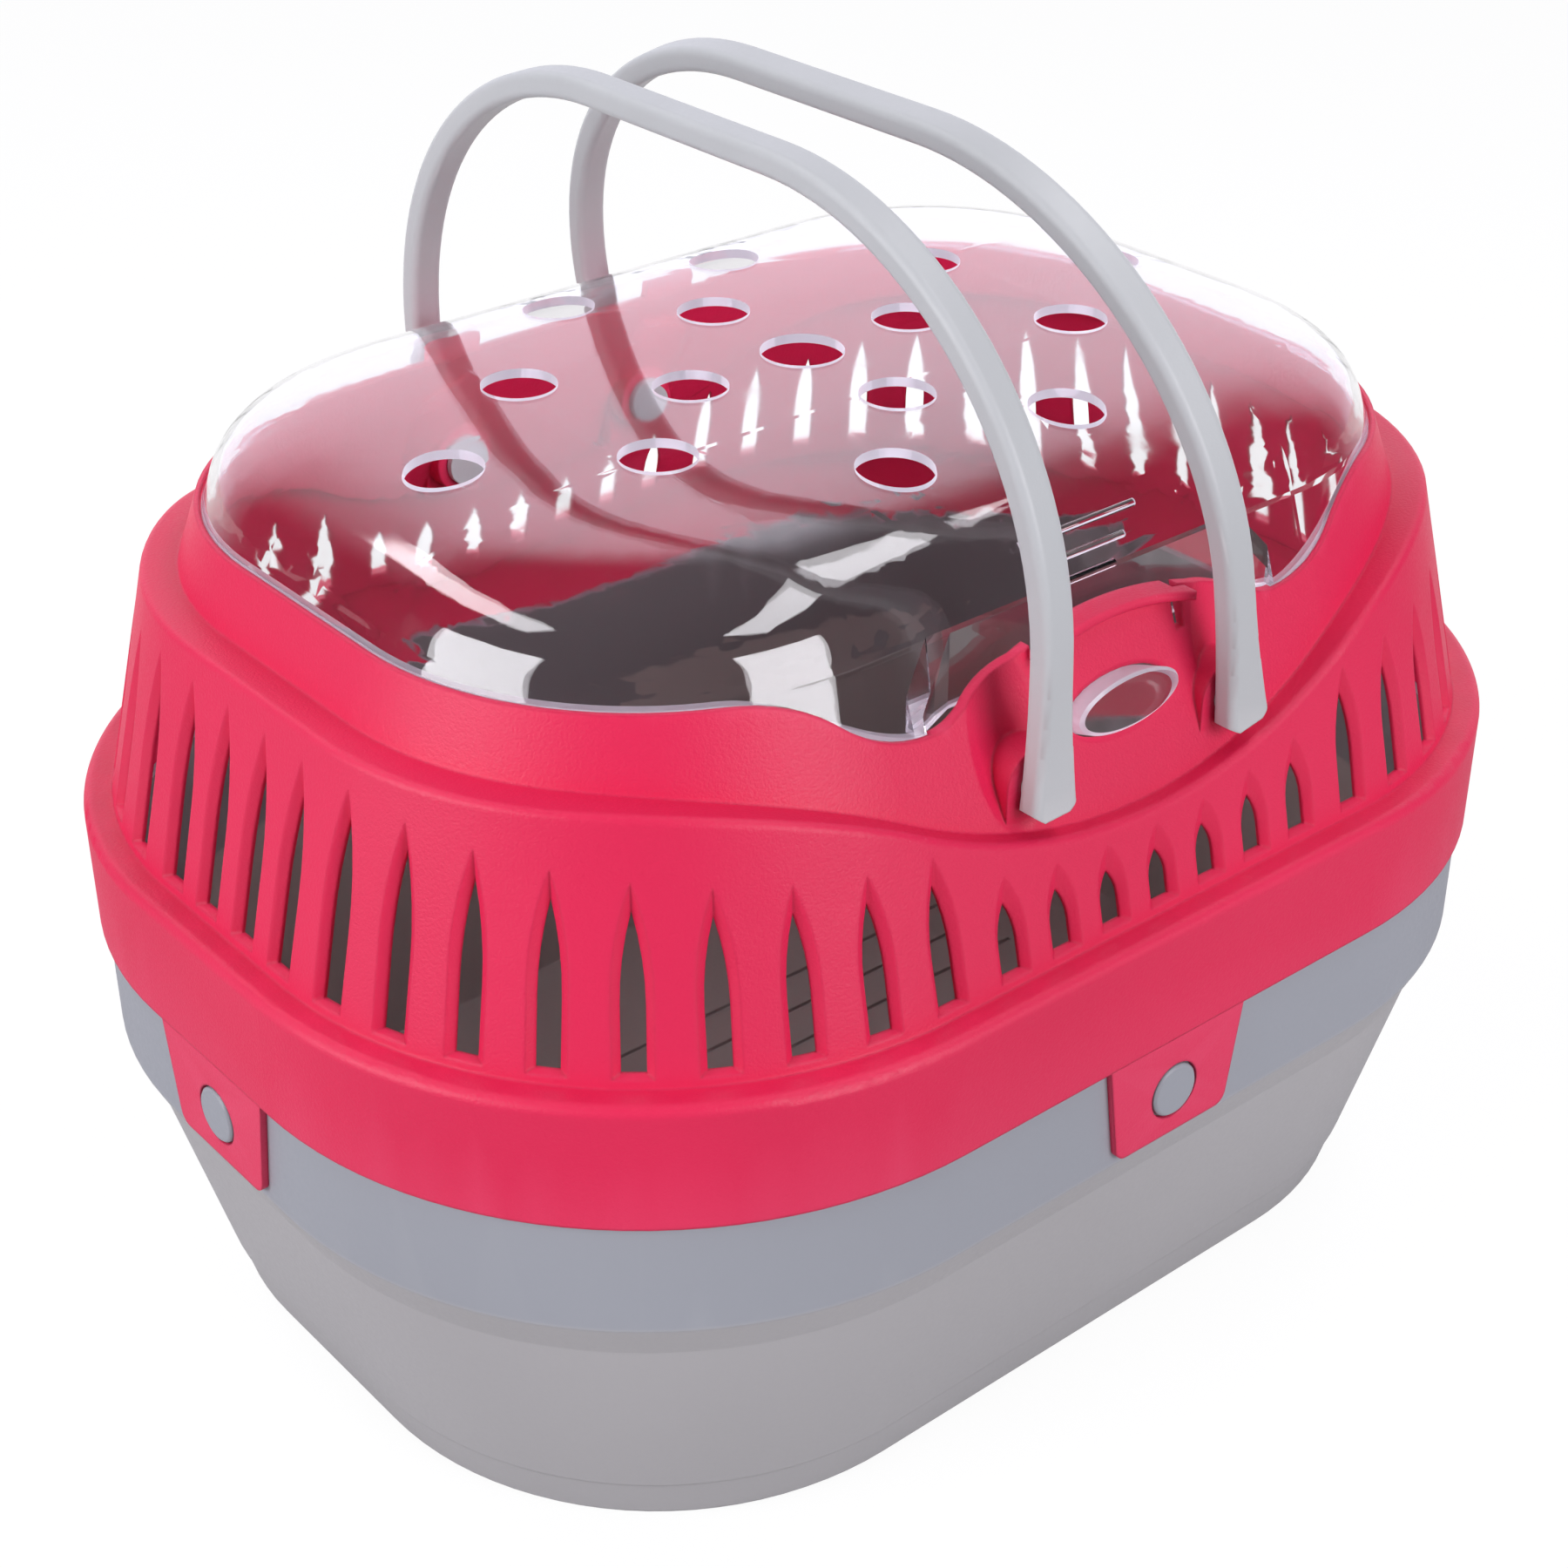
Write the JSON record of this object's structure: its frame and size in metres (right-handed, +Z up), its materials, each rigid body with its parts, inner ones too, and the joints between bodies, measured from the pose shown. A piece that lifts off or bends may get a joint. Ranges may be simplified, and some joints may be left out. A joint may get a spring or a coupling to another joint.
{
  "type": "small animal carrier",
  "caption": "Rounded small animal carrier with a tapered tub, slotted upper shell, clear domed lid with air holes that lifts off, a press catch, side clips and two swinging arched handles.",
  "frame": {"origin": "centre of the underside of the tub, on the surface it stands on", "axes": "+X along the length, -Y towards the front latch that faces the viewer, +Z up"},
  "size_m": [0.3008, 0.2308, 0.2556],
  "materials": {
    "tub_plastic": "satin, slightly milky",
    "shell_plastic": "satin, fine grain",
    "clear_plastic": "clear, polished",
    "handle_plastic": "satin"
  },
  "bodies": {
    "carrier_body": {"base_tub": "tub_plastic", "upper_shell": "shell_plastic"},
    "lid": {"clear_lid": "clear_plastic"},
    "left_handle": {"handle_left": "handle_plastic"},
    "right_handle": {"handle_right": "handle_plastic"},
    "tongue": {"latch_tongue": "shell_plastic"},
    "catch": {"lid_catch": "clear_plastic"},
    "front_clip": {"clip_front": "shell_plastic"},
    "right_clip": {"clip_right": "shell_plastic"},
    "rear_clip": {"clip_rear": "shell_plastic"},
    "left_clip": {"clip_left": "shell_plastic"}
  },
  "joints": [
    {"name": "lid_lift", "type": "slide", "parent": "carrier_body", "child": "lid", "axis": [0, 0, 1], "range_m": [0, 0.03]},
    {"name": "left_handle_swing", "type": "hinge", "parent": "carrier_body", "child": "left_handle", "pos_m": [-0.026, 0, 0.1524], "axis": [0, -1, 0], "range_deg": [-14.3, 64]},
    {"name": "right_handle_swing", "type": "hinge", "parent": "carrier_body", "child": "right_handle", "pos_m": [0.026, 0, 0.1524], "axis": [0, 1, 0], "range_deg": [-1.8, 76.5]},
    {"name": "tongue_flex", "type": "hinge", "parent": "carrier_body", "child": "tongue", "pos_m": [0, -0.09063, 0.1662], "axis": [1, 0, 0], "range_deg": [0, 6], "stiffness_Nm_per_rad": 0.5},
    {"name": "catch_press", "type": "slide", "parent": "carrier_body", "child": "catch", "axis": [0, 0.9427, -0.3337], "range_m": [0, 0.0025], "stiffness_N_per_m": 1200},
    {"name": "front_clip_flex", "type": "hinge", "parent": "carrier_body", "child": "front_clip", "pos_m": [0, -0.115, 0.0917], "axis": [-1, 0, 0], "range_deg": [0, 15], "stiffness_Nm_per_rad": 0.8},
    {"name": "right_clip_flex", "type": "hinge", "parent": "carrier_body", "child": "right_clip", "pos_m": [0.15, 0, 0.0917], "axis": [0, -1, 0], "range_deg": [0, 15], "stiffness_Nm_per_rad": 0.8},
    {"name": "rear_clip_flex", "type": "hinge", "parent": "carrier_body", "child": "rear_clip", "pos_m": [0, 0.115, 0.0917], "axis": [1, 0, 0], "range_deg": [0, 15], "stiffness_Nm_per_rad": 0.8},
    {"name": "left_clip_flex", "type": "hinge", "parent": "carrier_body", "child": "left_clip", "pos_m": [-0.15, 0, 0.0917], "axis": [0, 1, 0], "range_deg": [0, 15], "stiffness_Nm_per_rad": 0.8}
  ]
}
